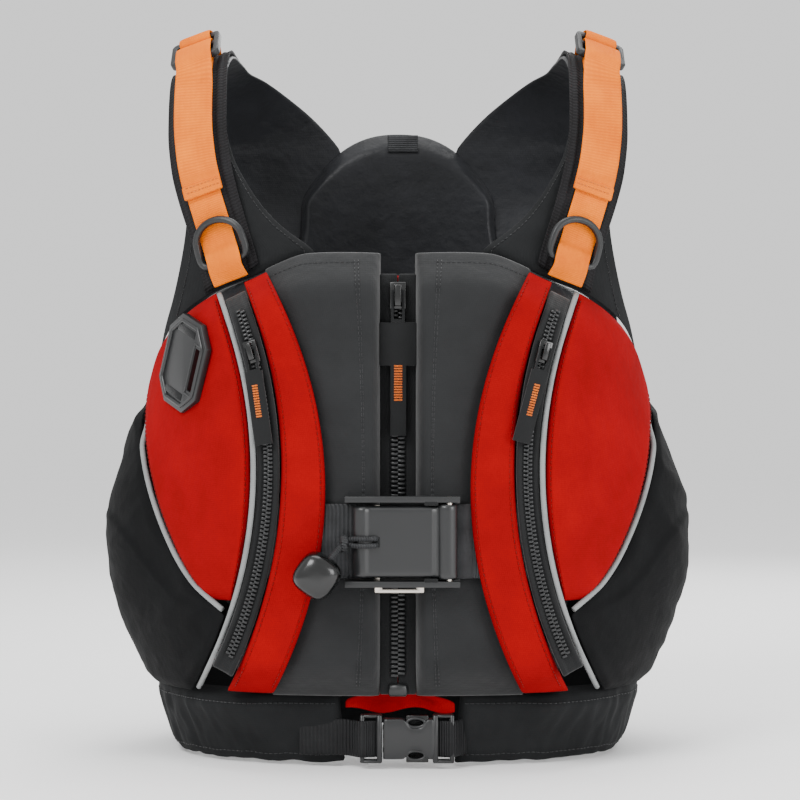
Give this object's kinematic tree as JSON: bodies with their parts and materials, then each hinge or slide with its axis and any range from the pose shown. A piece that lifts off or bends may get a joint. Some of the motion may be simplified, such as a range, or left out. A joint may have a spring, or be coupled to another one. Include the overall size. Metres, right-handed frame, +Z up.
{
  "type": "life jacket",
  "caption": "White-water rescue life jacket: foam vest with front zip, red chest pockets, orange shoulder straps, quick-release chest harness and buckled waist belt.",
  "frame": {"origin": "middle of the vest's base", "axes": "+Z up, the front faces -Y, the wearer's left is +X"},
  "size_m": [0.4122, 0.3258, 0.5077],
  "materials": {
    "foam": "matte closed-cell foam",
    "lining_fabric": "smooth black nylon lining",
    "charcoal_fabric": "matte charcoal coated nylon",
    "red_fabric": "matte red coated nylon",
    "zip_tape": "black woven tape with moulded teeth",
    "reflective_piping": "grey reflective piping",
    "black_fabric": "matte black coated nylon",
    "ribbed_webbing": "ribbed elastic binding",
    "orange_webbing": "orange woven webbing",
    "matte_plastic": "fine-grained moulded acetal",
    "gloss_plastic": "smooth moulded acetal",
    "grey_webbing": "dark grey woven webbing",
    "steel": "brushed stainless steel"
  },
  "bodies": {
    "vest": {"front_foam_right": "foam", "front_foam_left": "foam", "back_foam": "foam", "front_lining_right": "lining_fabric", "front_lining_left": "lining_fabric", "back_lining": "lining_fabric", "front_cover_right": "charcoal_fabric", "front_cover_left": "charcoal_fabric", "pocket_right": "red_fabric", "pocket_left": "red_fabric", "pocket_strip_right": "red_fabric", "pocket_strip_left": "red_fabric", "storm_flap": "red_fabric", "pocket_zip_right": "zip_tape", "pocket_zip_left": "zip_tape", "zip_tape_right": "zip_tape", "zip_tape_left": "zip_tape", "reflective_piping_right": "reflective_piping", "reflective_piping_left": "reflective_piping", "side_panel_right": "black_fabric", "side_panel_left": "black_fabric", "front_yoke_right": "black_fabric", "front_yoke_left": "black_fabric", "back_yoke_right": "black_fabric", "back_yoke_left": "black_fabric", "back_cover": "black_fabric", "waistband_right": "black_fabric", "waistband_left": "black_fabric", "waistband_back": "black_fabric", "shoulder_pad_right": "ribbed_webbing", "shoulder_pad_left": "ribbed_webbing", "shoulder_strap_right": "orange_webbing", "shoulder_strap_left": "orange_webbing", "strap_tail_right": "orange_webbing", "strap_tail_left": "orange_webbing", "rear_strap_right": "orange_webbing", "rear_strap_left": "orange_webbing", "ladder_lock_right": "matte_plastic", "ladder_lock_left": "matte_plastic", "qr_frame": "matte_plastic", "lash_tab": "matte_plastic", "waist_buckle_female": "gloss_plastic", "harness_belt": "grey_webbing", "neck_label": "grey_webbing", "qr_pin": "steel", "tension_plate": "steel"},
    "zip_slider": {"zip_slider": "gloss_plastic"},
    "zip_pull": {"zip_pull": "zip_tape"},
    "pocket_slider_right": {"pocket_slider_right": "gloss_plastic"},
    "pocket_slider_left": {"pocket_slider_left": "gloss_plastic"},
    "pocket_pull_right": {"pocket_pull_right": "zip_tape"},
    "pocket_pull_left": {"pocket_pull_left": "zip_tape"},
    "qr_lever": {"qr_lever": "matte_plastic"},
    "toggle": {"toggle_cord": "grey_webbing", "toggle_ball": "gloss_plastic"},
    "waist_buckle_male": {"waist_buckle_male": "gloss_plastic"},
    "buckle_arm_upper": {"buckle_arm_upper": "gloss_plastic"},
    "buckle_arm_lower": {"buckle_arm_lower": "gloss_plastic"},
    "d_ring_right": {"d_ring_right": "matte_plastic"},
    "d_ring_left": {"d_ring_left": "matte_plastic"}
  },
  "joints": [
    {"name": "main_zip", "type": "slide", "parent": "vest", "child": "zip_slider", "axis": [0, 0, -1], "range_m": [0, 0.25]},
    {"name": "main_zip_pull", "type": "hinge", "parent": "zip_slider", "child": "zip_pull", "pos_m": [0, -0.1219, 0.3189], "axis": [-1, 0, 0], "range_deg": [0, 120]},
    {"name": "pocket_zip_right", "type": "hinge", "parent": "vest", "child": "pocket_slider_right", "pos_m": [-0.37224, -0.06755, 0.199], "axis": [0.2419, 0.9703, 0], "range_deg": [0, 38]},
    {"name": "pocket_pull_lift_right", "type": "hinge", "parent": "pocket_slider_right", "child": "pocket_pull_right", "pos_m": [-0.0978, -0.14035, 0.28036], "axis": [-0.9596, 0.2393, -0.1478], "range_deg": [0, 110]},
    {"name": "pocket_zip_left", "type": "hinge", "parent": "vest", "child": "pocket_slider_left", "pos_m": [0.37224, -0.06755, 0.199], "axis": [0.2419, -0.9703, 0], "range_deg": [0, 38]},
    {"name": "pocket_pull_lift_left", "type": "hinge", "parent": "pocket_slider_left", "child": "pocket_pull_left", "pos_m": [0.0981, -0.14028, 0.28029], "axis": [-0.935, -0.2331, 0.2672], "range_deg": [0, 110]},
    {"name": "harness_release", "type": "hinge", "parent": "vest", "child": "qr_lever", "pos_m": [0.034, -0.1487, 0.1525], "axis": [0, 0, 1], "range_deg": [0, 110]},
    {"name": "toggle_swing", "type": "hinge", "parent": "qr_lever", "child": "toggle", "pos_m": [-0.0249, -0.1487, 0.1525], "axis": [0, 0, 1], "range_deg": [0, 60]},
    {"name": "waist_buckle", "type": "slide", "parent": "vest", "child": "waist_buckle_male", "axis": [-1, 0, 0], "range_m": [0, 0.04]},
    {"name": "squeeze_upper", "type": "hinge", "parent": "waist_buckle_male", "child": "buckle_arm_upper", "pos_m": [-0.0102, -0.11383, 0.0262], "axis": [0, 1, 0], "range_deg": [0, 6], "stiffness_Nm_per_rad": 0.05},
    {"name": "squeeze_lower", "type": "hinge", "parent": "waist_buckle_male", "child": "buckle_arm_lower", "pos_m": [-0.0102, -0.11383, 0.0108], "axis": [0, -1, 0], "range_deg": [0, 6], "stiffness_Nm_per_rad": 0.05},
    {"name": "d_ring_lift_right", "type": "hinge", "parent": "vest", "child": "d_ring_right", "pos_m": [-0.11816, -0.09565, 0.33964], "axis": [0.8763, -0.4151, 0.2446], "range_deg": [0, 100]},
    {"name": "d_ring_lift_left", "type": "hinge", "parent": "vest", "child": "d_ring_left", "pos_m": [0.11816, -0.09565, 0.33964], "axis": [0.8763, 0.4151, -0.2446], "range_deg": [0, 100]}
  ]
}
